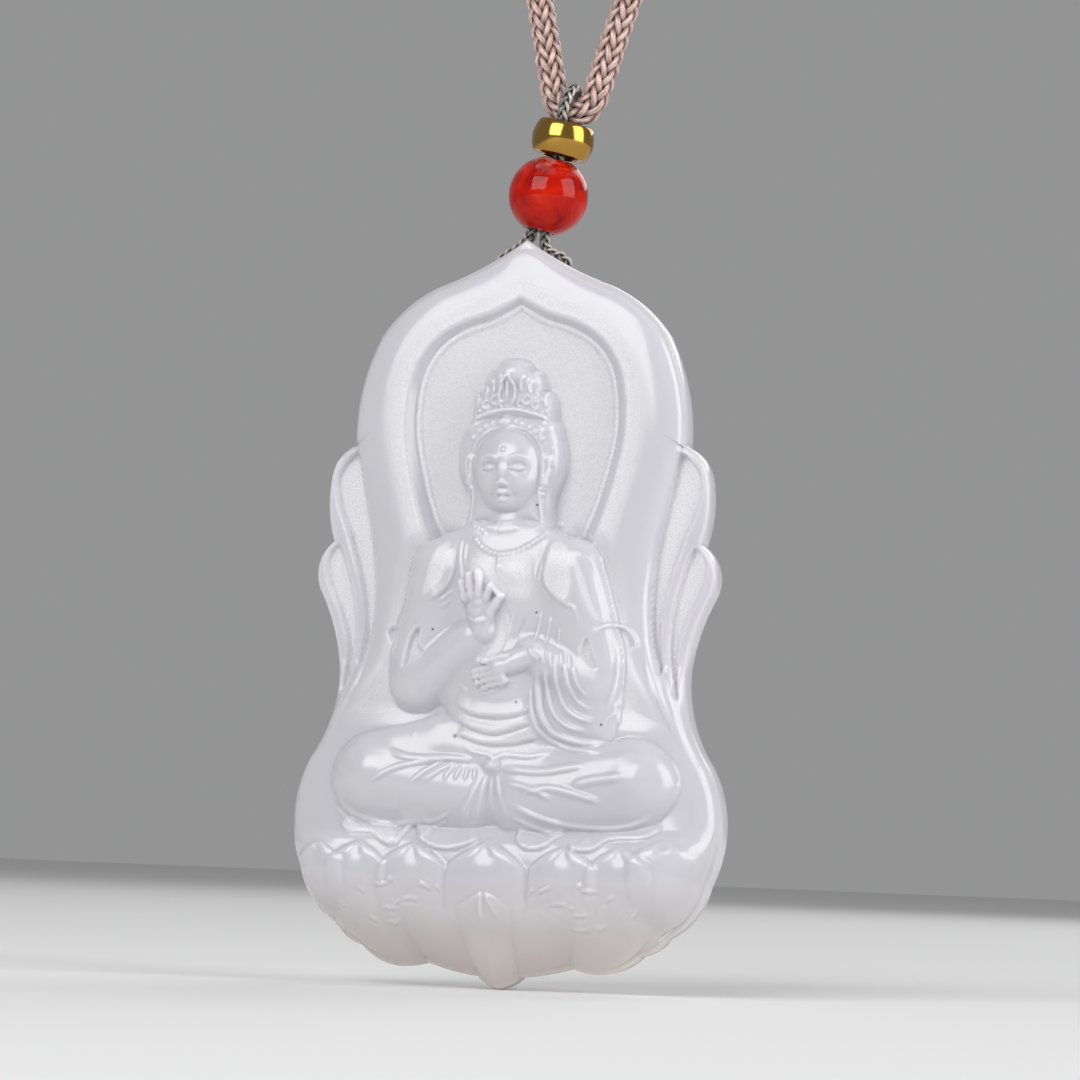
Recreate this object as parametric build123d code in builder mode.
from build123d import *
import math
import os

os.makedirs("parts", exist_ok=True)

# A carved jade pendant on its braided neck cord, in millimetres. X runs across, -Y is the carved front and
# +Z is up. The origin is where the loop bears on the nape of the neck. Depths are measured forwards from the
# pendant's middle plane, Y = 0.

# Pendant
HEIGHT = 65.0  # tip to point
HALF_WIDTH = 19.4  # at the lotus
RELIEF = 5.2  # how far the boldest carving stands in front of the middle plane
EDGE_FRONT = 0.9  # front of the edge band
BACK = 3.3  # flat back, behind the middle plane
BACK_BEVEL = 1.6  # depth of the bevel round the back
BACK_SHARE = 0.93  # the flat back's size, as a share of the outline
FRONT_BEVEL = 0.5
FRONT_SHARE = 0.975
HALO_FLOOR = 0.9  # depth of the sunk halo field in front of the middle plane
HALO_RIM = 3.0  # depth over which the halo's sloping rim widens
HALO_RIM_SHARE = 1.18
PANEL_SINK = 0.8  # how far the side panels are sunk
RIDGE = 0.42  # radius of the carved folds
CUT_MARGIN = 1.0  # how far the space cut behind the point runs past the back

# Lug behind the point, which the thin loop passes
BORE_DROP = 3.4  # bore centre below the point
BORE_Y = 1.75
LUG_HALF_WIDTH = 2.3
LUG_REACH = 2.1
LUG_TIP = 0.5
LUG_FRONT = 0.6  # front wall of the coves beside the lug
COVE_DROP = 2.4  # floor of the coves below the bore
SIDE_GAP = 0.15  # between the lug and the loop's legs

# Thin loop
LOOP_D = 1.2
STEM_D = 2.5  # the doubled cord inside the beads
EYE_D = 0.9  # drawn tight round the neck cord
BORE_CLEARANCE = 0.18
STEM_LEAN = 13.0  # degrees, the beads lean to the right of the pendant
STEM_RISE = 2.6  # foot of the stem above the bore
LEG_RISE = 1.6  # straight rise of each leg out of the bore
LEG_JOIN = 0.7  # where the legs come together, above the stem's foot
LEG_BEND_R = 0.75
LEG_GAP = 0.06  # between the legs where they run into the stem

# Beads
RED_D = 7.0
RED_GAP = 1.6  # from the stem's foot to the red bead
GOLD_D = 5.5
GOLD_END_D = 4.7
GOLD_H = 2.9
GOLD_MOUTH_D = 4.3  # the flared mouth that the cord's fold sits in
GOLD_MOUTH_DEPTH = 1.2
BEAD_GAP = 0.1
BEAD_CLEARANCE = 0.12
BEAD_CHAMFER = 0.15

# Neck cord
CORD_D = 2.6
FOLD_R = 1.9
FOLD_SINK = 0.3  # how deep the fold sits in the gold bead's mouth
EYE_CLEARANCE = 0.08
RIGHT_LEAN = 17.2  # degrees from upright, the cord's two legs just above the fold
LEFT_LEAN = 11.4
LEG_RUN = 60.0  # length of that first straight run
LEG_BEND_ARC = 300.0  # radius of the gentle bend above it
LOOP_HEIGHT = 276.0  # fold to nape, along the cord's middle line
NECK_R = 57.0

# Sleeve at the nape
SLEEVE_L = 14.0
SLEEVE_WALL = 0.8
SLEEVE_GAP = 0.08
CORD_END_GAP = 0.4

# Heights and places that follow from these
BAND_SECTIONS = [
    # y, share of the outline
    (BACK, BACK_SHARE),
    (BACK - BACK_BEVEL, 1.0),
    (FRONT_BEVEL - EDGE_FRONT, 1.0),
    (-EDGE_FRONT, FRONT_SHARE),
]
HALO_SECTIONS = [
    # y, share of the halo's outline
    (-HALO_FLOOR, 1.0),
    (-HALO_FLOOR - HALO_RIM, HALO_RIM_SHARE),
]
CORD_R = CORD_D / 2
SLEEVE_R = CORD_R + SLEEVE_GAP + SLEEVE_WALL
TOP_Z = SLEEVE_R
FOLD_Z = TOP_Z - LOOP_HEIGHT
STEM_L = RED_GAP + RED_D + BEAD_GAP + GOLD_H + CORD_R - FOLD_SINK
LEAN = math.radians(STEM_LEAN)
FOLD_X = STEM_L * math.sin(LEAN)
FOLD_CENTRE = (FOLD_X + FOLD_R * math.sin(LEAN), FOLD_Z + FOLD_R * math.cos(LEAN))
EYE_R = CORD_R + EYE_CLEARANCE + EYE_D / 2
LEG_X = LUG_HALF_WIDTH + SIDE_GAP + LOOP_D / 2
LEG_STEM_X = (LOOP_D + LEG_GAP) / 2
STEM_Z = FOLD_Z - STEM_L * math.cos(LEAN)
BORE_Z = STEM_Z - STEM_RISE
POINT_Z = BORE_Z + BORE_DROP
TIP_Z = POINT_Z - HEIGHT
STEM = Plane(
    origin=(0, BORE_Y, STEM_Z),
    x_dir=(math.cos(LEAN), 0, -math.sin(LEAN)),
    z_dir=(math.sin(LEAN), 0, math.cos(LEAN)),
)
RED_Z = RED_GAP + RED_D / 2
GOLD_Z = RED_GAP + RED_D + BEAD_GAP
STEM_HOLE_R = STEM_D / 2 + BEAD_CLEARANCE
BORE_R = LOOP_D / 2 + BORE_CLEARANCE

# Outline of the right half, from the bottom tip up to the point. Each row is one arc: its end and a point
# on its way, as shares of HALF_WIDTH and HEIGHT.
OUTLINE = [
    # end_x, end_z, way_x, way_z
    (0.325, 0.032, 0.165, 0.010),
    (0.598, 0.046, 0.474, 0.026),
    (0.758, 0.077, 0.691, 0.055),
    (0.943, 0.145, 0.871, 0.106),
    (0.933, 0.298, 1.000, 0.218),
    (0.812, 0.425, 0.830, 0.365),
    (0.915, 0.523, 0.851, 0.478),
    (0.863, 0.591, 0.933, 0.557),
    (0.887, 0.677, 0.894, 0.643),
    (0.776, 0.722, 0.851, 0.705),
    (0.670, 0.871, 0.760, 0.794),
    (0.407, 0.937, 0.562, 0.908),
    (0.000, 1.000, 0.186, 0.966),
]
HALO_FOOT = (0.289, 0.560)
HALO = [
    # end_x, end_z, way_x, way_z
    (0.477, 0.769, 0.459, 0.677),
    (0.418, 0.842, 0.464, 0.809),
    (0.247, 0.883, 0.345, 0.865),
    (0.000, 0.914, 0.119, 0.897),
]
# Side panels: corners of a closed smooth outline, as shares of HALF_WIDTH and HEIGHT.
PANELS = {
    "upper": [
        (0.745, 0.712), (0.836, 0.690), (0.850, 0.640), (0.800, 0.585), (0.752, 0.525),
        (0.735, 0.428), (0.690, 0.500), (0.665, 0.580), (0.705, 0.655),
    ],
    "lower": [
        (0.820, 0.592), (0.880, 0.565), (0.862, 0.520), (0.800, 0.470),
        (0.775, 0.412), (0.755, 0.480), (0.775, 0.540),
    ],
}

# Smooth rounded masses. Lengths along X are shares of HALF_WIDTH, heights of HEIGHT and depths of RELIEF.
MASSES = [
    # x, z, depth, half_width, half_height, half_depth
    (0.000, 0.220, 0.000, 0.950, 0.200, 1.000),  # lotus seat
    (0.000, 0.420, 0.000, 0.760, 0.300, 0.700),  # middle of the plaque
    (0.000, 0.690, 0.000, 0.745, 0.290, 0.520),  # upper border
    (0.536, 0.275, 0.365, 0.258, 0.060, 0.596),  # right knee
    (-0.536, 0.275, 0.365, 0.258, 0.060, 0.596),  # left knee
]
FIGURE_MASSES = [
    # x, z, depth, half_width, half_height, half_depth
    (0.000, 0.717, 0.173, 0.237, 0.068, 0.385),  # hair
    (0.000, 0.694, 0.269, 0.175, 0.060, 0.615),  # face
    (0.000, 0.788, 0.154, 0.191, 0.054, 0.346),  # crown
    (0.000, 0.515, 0.308, 0.361, 0.123, 0.596),  # chest
    (0.000, 0.385, 0.346, 0.289, 0.077, 0.558),  # waist
]
# Tapered round limbs, from one ball to another. Radii are shares of HALF_WIDTH, the rest as above.
LIMBS = [
    # x0, z0, depth0, radius0, x1, z1, depth1, radius1
    (0.000, 0.654, 0.308, 0.113, 0.000, 0.600, 0.346, 0.134),  # neck
    (-0.330, 0.569, 0.385, 0.119, -0.423, 0.434, 0.442, 0.098),  # left upper arm
    (0.340, 0.572, 0.385, 0.119, 0.459, 0.437, 0.442, 0.098),  # right upper arm
    (-0.381, 0.409, 0.500, 0.103, -0.134, 0.471, 0.692, 0.067),  # left forearm
    (0.443, 0.418, 0.500, 0.103, 0.155, 0.451, 0.692, 0.067),  # right forearm
    (-0.129, 0.495, 0.750, 0.070, -0.108, 0.523, 0.788, 0.052),  # raised palm
    (-0.134, 0.520, 0.827, 0.026, -0.160, 0.559, 0.865, 0.020),  # raised fingers
    (-0.103, 0.520, 0.846, 0.026, -0.108, 0.562, 0.885, 0.020),
    (-0.072, 0.520, 0.846, 0.026, -0.062, 0.551, 0.885, 0.020),
    (-0.072, 0.501, 0.846, 0.026, 0.005, 0.522, 0.885, 0.020),  # raised thumb
    (0.082, 0.448, 0.769, 0.067, 0.010, 0.445, 0.788, 0.057),  # lower palm
    (0.010, 0.449, 0.846, 0.026, -0.139, 0.437, 0.865, 0.021),  # lower fingers
    (0.010, 0.440, 0.846, 0.026, -0.129, 0.423, 0.865, 0.021),
    (0.010, 0.431, 0.846, 0.026, -0.088, 0.409, 0.865, 0.021),
    (-0.593, 0.268, 0.462, 0.150, 0.134, 0.240, 0.596, 0.108),  # left shin
    (0.593, 0.274, 0.462, 0.150, -0.077, 0.265, 0.596, 0.108),  # right shin
    (0.222, 0.711, 0.269, 0.039, 0.216, 0.652, 0.269, 0.031),  # right ear
    (-0.222, 0.711, 0.269, 0.039, -0.216, 0.652, 0.269, 0.031),  # left ear
    (0.227, 0.652, 0.288, 0.031, 0.273, 0.609, 0.365, 0.041),  # right lock
    (-0.227, 0.652, 0.288, 0.031, -0.273, 0.609, 0.365, 0.041),  # left lock
]
# Folds of the robe: round ridges along an arc through three places.
FOLDS = [
    # x0, z0, way_x, way_z, x1, z1, depth
    (0.215, 0.475, 0.330, 0.345, 0.500, 0.410, 0.800),  # drape over the right forearm
    (0.225, 0.450, 0.340, 0.325, 0.525, 0.385, 0.740),
    (0.235, 0.425, 0.360, 0.305, 0.545, 0.355, 0.660),
    (-0.200, 0.378, 0.000, 0.358, 0.190, 0.375, 0.900),  # sash
    (-0.200, 0.352, 0.000, 0.334, 0.190, 0.350, 0.880),
    (-0.560, 0.228, -0.300, 0.205, -0.050, 0.222, 0.960),  # hem
    (0.560, 0.228, 0.300, 0.205, 0.050, 0.222, 0.960),
    (-0.235, 0.600, 0.000, 0.575, 0.225, 0.603, 0.740),  # bead necklace
]
# Lotus petals: pointed at the top, one row of the table for each, mirrored where x is not zero.
PETALS = [
    # x, top_z, half_width, foot_z, depth
    (0.000, 0.193, 0.190, 0.050, 1.030),
    (0.362, 0.190, 0.185, 0.060, 0.985),
    (0.640, 0.192, 0.165, 0.085, 0.850),
    (0.850, 0.200, 0.110, 0.110, 0.640),
    (0.000, 0.128, 0.170, 0.004, 0.960),
    (0.325, 0.122, 0.170, 0.018, 0.900),
    (0.600, 0.135, 0.155, 0.045, 0.760),
]
PETAL_THICKNESS = 1.3
PETAL_SLOPE = 28  # degrees
PETAL_SHOULDER = 0.62  # how full a petal's sides are towards its point


def place(x, z, depth):
    """A place on the carved front, from shares of the pendant's width, height and relief."""
    return Vector(x * HALF_WIDTH, -depth * RELIEF, TIP_Z + z * HEIGHT)


def front_plane(y):
    """A drawing plane that faces forwards at this Y, with its origin at the pendant's tip."""
    return Plane(origin=(0, y, TIP_Z), x_dir=(1, 0, 0), z_dir=(0, -1, 0))


def symmetric_face(start, rows):
    """A flat face whose right half follows the table's arcs and whose left half mirrors them."""
    corners = [start] + [(end_x, end_z) for end_x, end_z, way_x, way_z in rows]
    ways = [(way_x, way_z) for end_x, end_z, way_x, way_z in rows]
    with BuildSketch() as face:
        with BuildLine():
            for side in (1, -1):
                for here, way, end in zip(corners, ways, corners[1:]):
                    ThreePointArc(*[(side * x * HALF_WIDTH, z * HEIGHT) for x, z in (here, way, end)])
            if start[0] > 0:
                Line(*[(side * start[0] * HALF_WIDTH, start[1] * HEIGHT) for side in (-1, 1)])
        make_face()
    return face.face()


def mass(x, z, depth, half_width, half_height, half_depth):
    """A smooth rounded mass."""
    with BuildPart() as form:
        Sphere(1)
    radii = (half_width * HALF_WIDTH, half_depth * RELIEF, half_height * HEIGHT)
    return scale(form.part, by=radii).moved(Location(place(x, z, depth)))


def limb(x0, z0, depth0, radius0, x1, z1, depth1, radius1):
    """A ball that tapers smoothly to another ball."""
    start = place(x0, z0, depth0)
    along = place(x1, z1, depth1) - start
    r0 = radius0 * HALF_WIDTH
    r1 = radius1 * HALF_WIDTH
    length = along.length
    tilt = math.asin((r0 - r1) / length)
    half0 = (tilt - math.pi / 2) / 2
    half1 = (tilt + math.pi / 2) / 2
    way0 = (r0 * math.sin(half0), r0 * math.cos(half0))
    way1 = (length + r1 * math.sin(half1), r1 * math.cos(half1))
    tangent0 = (r0 * math.sin(tilt), r0 * math.cos(tilt))
    tangent1 = (length + r1 * math.sin(tilt), r1 * math.cos(tilt))
    profile_plane = Plane(origin=start, x_dir=along, z_dir=along.cross(Vector(0, 1, 0)))
    with BuildPart() as form:
        with BuildSketch(profile_plane):
            with BuildLine():
                ThreePointArc((-r0, 0), way0, tangent0)
                Line(tangent0, tangent1)
                ThreePointArc(tangent1, way1, (length + r1, 0))
                Line((length + r1, 0), (-r0, 0))
            make_face()
        revolve(axis=Axis(start, along))
    return form.part


def fold(x0, z0, way_x, way_z, x1, z1, depth):
    """A round carved fold along an arc."""
    y = -depth * RELIEF
    ends = [(x * HALF_WIDTH, z * HEIGHT) for x, z in ((x0, z0), (way_x, way_z), (x1, z1))]
    with BuildPart() as form:
        with BuildLine(front_plane(y)) as path:
            ThreePointArc(*ends)
        with BuildSketch(Plane(origin=path.line @ 0, z_dir=path.line % 0)):
            Circle(RIDGE)
        sweep(path=path.line)
    return form.part


def petal(x, top_z, half_width, foot_z, depth):
    """A lotus petal with sloping sides, pointed at its top and round at its foot."""
    middle_z = (top_z + foot_z) / 2 * HEIGHT
    left = ((x - half_width) * HALF_WIDTH, middle_z)
    right = ((x + half_width) * HALF_WIDTH, middle_z)
    top = (x * HALF_WIDTH, top_z * HEIGHT)
    foot = (x * HALF_WIDTH, foot_z * HEIGHT)
    shoulder_z = PETAL_SHOULDER * top[1] + (1 - PETAL_SHOULDER) * middle_z
    with BuildPart() as form:
        with BuildSketch(front_plane(-depth * RELIEF + PETAL_THICKNESS)):
            with BuildLine():
                for side, corner in ((-1, left), (1, right)):
                    shoulder_x = (x + side * PETAL_SHOULDER * half_width) * HALF_WIDTH
                    ThreePointArc(corner, (shoulder_x, shoulder_z), top)
                ThreePointArc(left, foot, right)
            make_face()
        extrude(amount=PETAL_THICKNESS, taper=PETAL_SLOPE)
    return form.part


def layered(face, sections):
    """A solid through copies of the face at several depths, each scaled about its middle."""
    middle = face.bounding_box().center()
    copies = []
    for y, share in sections:
        shift = Location((middle.X * (1 - share), middle.Y * (1 - share), 0))
        copies.append(scale(face, by=share).moved(front_plane(y).location * shift))
    with BuildPart() as form:
        loft(copies, ruled=True)
    return form.part


def panel(points):
    """The space of a sunk side panel on the right, with a smooth outline through its corners."""
    corners = [(x * HALF_WIDTH, z * HEIGHT) for x, z in points]
    with BuildPart() as form:
        with BuildSketch(front_plane(PANEL_SINK - EDGE_FRONT)):
            with BuildLine():
                Spline(*corners, periodic=True)
            make_face()
        extrude(amount=2 * RELIEF)
    return form.part


def cove():
    """The space beside and above the lug, behind the point: open to the back and to the sides."""
    reach = 2 * RELIEF
    floor_y = BACK + CUT_MARGIN
    floor_z = BORE_DROP + COVE_DROP
    bow = floor_y - LUG_FRONT
    plane = Plane(origin=(-HALF_WIDTH / 2, 0, POINT_Z), x_dir=(0, 1, 0), z_dir=(1, 0, 0))
    with BuildPart() as form:
        with BuildSketch(plane):
            with BuildLine():
                Line((reach, reach), (LUG_FRONT, reach))
                Line((LUG_FRONT, reach), (LUG_FRONT, bow - floor_z))
                RadiusArc((LUG_FRONT, bow - floor_z), (floor_y, -floor_z), -bow)
                Line((floor_y, -floor_z), (reach, -floor_z))
                Line((reach, -floor_z), (reach, reach))
            make_face()
        extrude(amount=HALF_WIDTH)
    return form.part


def lug():
    """The drilled lug: a disc round the bore's axis that thins towards its rim, on a foot."""
    bore = Plane(origin=(0, BORE_Y, BORE_Z), x_dir=(1, 0, 0), z_dir=(0, -1, 0))
    with BuildPart() as form:
        with BuildSketch(bore):
            with BuildLine():
                Polyline(
                    (-LUG_HALF_WIDTH, 0),
                    (-LUG_HALF_WIDTH, BORE_R + SIDE_GAP),
                    (-LUG_TIP, LUG_REACH),
                    (LUG_TIP, LUG_REACH),
                    (LUG_HALF_WIDTH, BORE_R + SIDE_GAP),
                    (LUG_HALF_WIDTH, 0),
                    close=True,
                )
            make_face()
        revolve(axis=Axis((0, BORE_Y, BORE_Z), (1, 0, 0)))
        with Locations((0, BORE_Y, BORE_Z - LUG_REACH / 2)):
            Box(2 * LUG_HALF_WIDTH, 2 * (BACK - BORE_Y), LUG_REACH)
    return form.part


def tube(path, diameter):
    """A round cord along a path."""
    with BuildPart() as form:
        with BuildSketch(Plane(origin=path @ 0, z_dir=path % 0)):
            Circle(diameter / 2)
        sweep(path=path)
    return form.part


# The pendant: a plaque with rounded masses in front, sunk fields, and the figure raised from them.
outline = symmetric_face((0, 0), OUTLINE)
halo = symmetric_face(HALO_FOOT, HALO)
band = layered(outline, BAND_SECTIONS)
halo_space = layered(halo, HALO_SECTIONS)
masses = [mass(*row) for row in MASSES]
right_panels = [panel(points) for points in PANELS.values()]
cove_space = cove()
lug_form = lug()
figure_masses = [mass(*row) for row in FIGURE_MASSES]
limbs = [limb(*row) for row in LIMBS]
folds = [fold(*row) for row in FOLDS]
petals = [petal(*row) for row in PETALS]

with BuildPart() as front_prism:
    with BuildSketch(front_plane(BACK)):
        add(outline)
    extrude(amount=BACK + 2 * RELIEF)

with BuildPart() as lotus:
    for form in petals:
        add(form)
        add(form.mirror(Plane.YZ))

with BuildPart() as figure:
    for form in figure_masses + limbs + folds:
        add(form)

with BuildPart() as pendant:
    add(band)
    add(masses)
    add(halo_space, mode=Mode.SUBTRACT)
    add(right_panels, mode=Mode.SUBTRACT)
    add([form.mirror(Plane.YZ) for form in right_panels], mode=Mode.SUBTRACT)
    add(cove_space, mode=Mode.SUBTRACT)
    add(lotus.part)
    add(figure.part)
    add(front_prism.part, mode=Mode.INTERSECT)
    add(lug_form)
    with Locations(Location((0, BORE_Y, BORE_Z), (0, 90, 0))):
        Cylinder(BORE_R, 2 * HALF_WIDTH, mode=Mode.SUBTRACT)
pendant.part.label = "pendant"
export_step(pendant.part, "parts/pendant.step")


def stem_place(across, depth, along):
    """A place given from the foot of the leaning stem."""
    return STEM.from_local_coords(Vector(across, depth, along))


# The thin loop: two legs through the lug, a doubled stem through the beads, and an eye round the neck cord.
legs = []
for side in (1, -1):
    with BuildLine() as leg:
        FilletPolyline(
            stem_place(side * LEG_STEM_X, 0, RED_GAP + STEM_D),
            stem_place(side * LEG_STEM_X, 0, LEG_JOIN),
            Vector(side * LEG_X, BORE_Y, BORE_Z + LEG_RISE),
            Vector(side * LEG_X, BORE_Y, BORE_Z),
            Vector(0, BORE_Y, BORE_Z),
            radius=LEG_BEND_R,
        )
    legs.append(tube(leg.wires()[0], LOOP_D))

with BuildPart() as hanging_loop:
    with BuildSketch(STEM.offset(RED_GAP)):
        Circle(STEM_D / 2)
    extrude(amount=STEM_L - RED_GAP - EYE_R)
    with BuildSketch(Plane(origin=stem_place(0, EYE_R, STEM_L), x_dir=(0, 1, 0), z_dir=STEM.z_dir)):
        Circle(EYE_D / 2)
    revolve(axis=Axis(stem_place(0, 0, STEM_L), STEM.x_dir))
    for leg_tube in legs:
        add(leg_tube)
hanging_loop.part.label = "hanging_loop"
export_step(hanging_loop.part, "parts/hanging_loop.step")

with BuildPart() as red_bead:
    with Locations(STEM.location * Location((0, 0, RED_Z))):
        Sphere(RED_D / 2)
        Cylinder(STEM_HOLE_R, 2 * RED_D, mode=Mode.SUBTRACT)
    chamfer(red_bead.edges().filter_by(GeomType.CIRCLE), BEAD_CHAMFER)
red_bead.part.label = "red_bead"
export_step(red_bead.part, "parts/red_bead.step")

gold_plane = Plane(origin=stem_place(0, 0, GOLD_Z), x_dir=STEM.x_dir, z_dir=STEM.x_dir.cross(STEM.z_dir))
with BuildPart() as gold_bead:
    with BuildSketch(gold_plane):
        with BuildLine():
            Line((STEM_HOLE_R, 0), (GOLD_END_D / 2, 0))
            ThreePointArc((GOLD_END_D / 2, 0), (GOLD_D / 2, GOLD_H / 2), (GOLD_END_D / 2, GOLD_H))
            Line((GOLD_END_D / 2, GOLD_H), (GOLD_MOUTH_D / 2, GOLD_H))
            Line((GOLD_MOUTH_D / 2, GOLD_H), (STEM_HOLE_R, GOLD_H - GOLD_MOUTH_DEPTH))
            Line((STEM_HOLE_R, GOLD_H - GOLD_MOUTH_DEPTH), (STEM_HOLE_R, 0))
        make_face()
    revolve(axis=Axis(STEM.origin, STEM.z_dir))
gold_bead.part.label = "gold_bead"
export_step(gold_bead.part, "parts/gold_bead.step")


def touching_place(outside, centre, radius, side):
    """Where a straight run from a place outside a circle touches it, on its right (1) or left (-1)."""
    to_outside = math.atan2(outside[1] - centre[1], outside[0] - centre[0])
    swing = math.acos(radius / math.dist(outside, centre))
    angle = to_outside + side * swing
    return (centre[0] + radius * math.cos(angle), centre[1] + radius * math.sin(angle))


def cord_half(side, lean):
    """One half of the neck cord's middle line, from the fold up to the nape. side is 1 for the right."""
    tilt = math.radians(lean)
    along = (side * math.sin(tilt), math.cos(tilt))
    start = (FOLD_CENTRE[0] + side * FOLD_R * math.cos(tilt), FOLD_CENTRE[1] - FOLD_R * math.sin(tilt))
    bend = (start[0] + LEG_RUN * along[0], start[1] + LEG_RUN * along[1])
    centre = (side * SLEEVE_L / 2, TOP_Z - NECK_R)
    touch = touching_place(bend, centre, NECK_R, side)
    half = (math.atan2(touch[1] - centre[1], side * (touch[0] - centre[0])) + math.pi / 2) / 2
    way = (centre[0] + side * NECK_R * math.cos(half), centre[1] + NECK_R * math.sin(half))
    FilletPolyline(start, bend, touch, radius=LEG_BEND_ARC)
    ThreePointArc(touch, way, (centre[0], TOP_Z))
    Line((centre[0], TOP_Z), (side * CORD_END_GAP / 2, TOP_Z))
    return start


# The neck cord: one whole loop in the plane of the lug's bore.
with BuildPart() as neck_cord:
    with BuildLine(Plane(origin=(0, BORE_Y, 0), x_dir=(1, 0, 0), z_dir=(0, -1, 0))) as cord_path:
        right_start = cord_half(1, RIGHT_LEAN)
        left_start = cord_half(-1, LEFT_LEAN)
        ThreePointArc(left_start, (FOLD_X, FOLD_Z), right_start)
    cord_line = cord_path.wires()[0]
    with BuildSketch(Plane(origin=cord_line @ 0, z_dir=cord_line % 0)):
        Circle(CORD_R)
    sweep(path=cord_line)
neck_cord.part.label = "neck_cord"
export_step(neck_cord.part, "parts/neck_cord.step")

with BuildPart() as nape_sleeve:
    with Locations(Location((0, BORE_Y, TOP_Z), (0, 90, 0))):
        Cylinder(SLEEVE_R, SLEEVE_L)
        Cylinder(CORD_R + SLEEVE_GAP, SLEEVE_L, mode=Mode.SUBTRACT)
nape_sleeve.part.label = "nape_sleeve"
export_step(nape_sleeve.part, "parts/nape_sleeve.step")

for piece in (pendant, hanging_loop, red_bead, gold_bead, neck_cord, nape_sleeve):
    print(piece.part.label, len(piece.part.solids()), "solid of", round(piece.part.volume, 1), "mm3")
print("neck cord length", round(cord_line.length, 1))
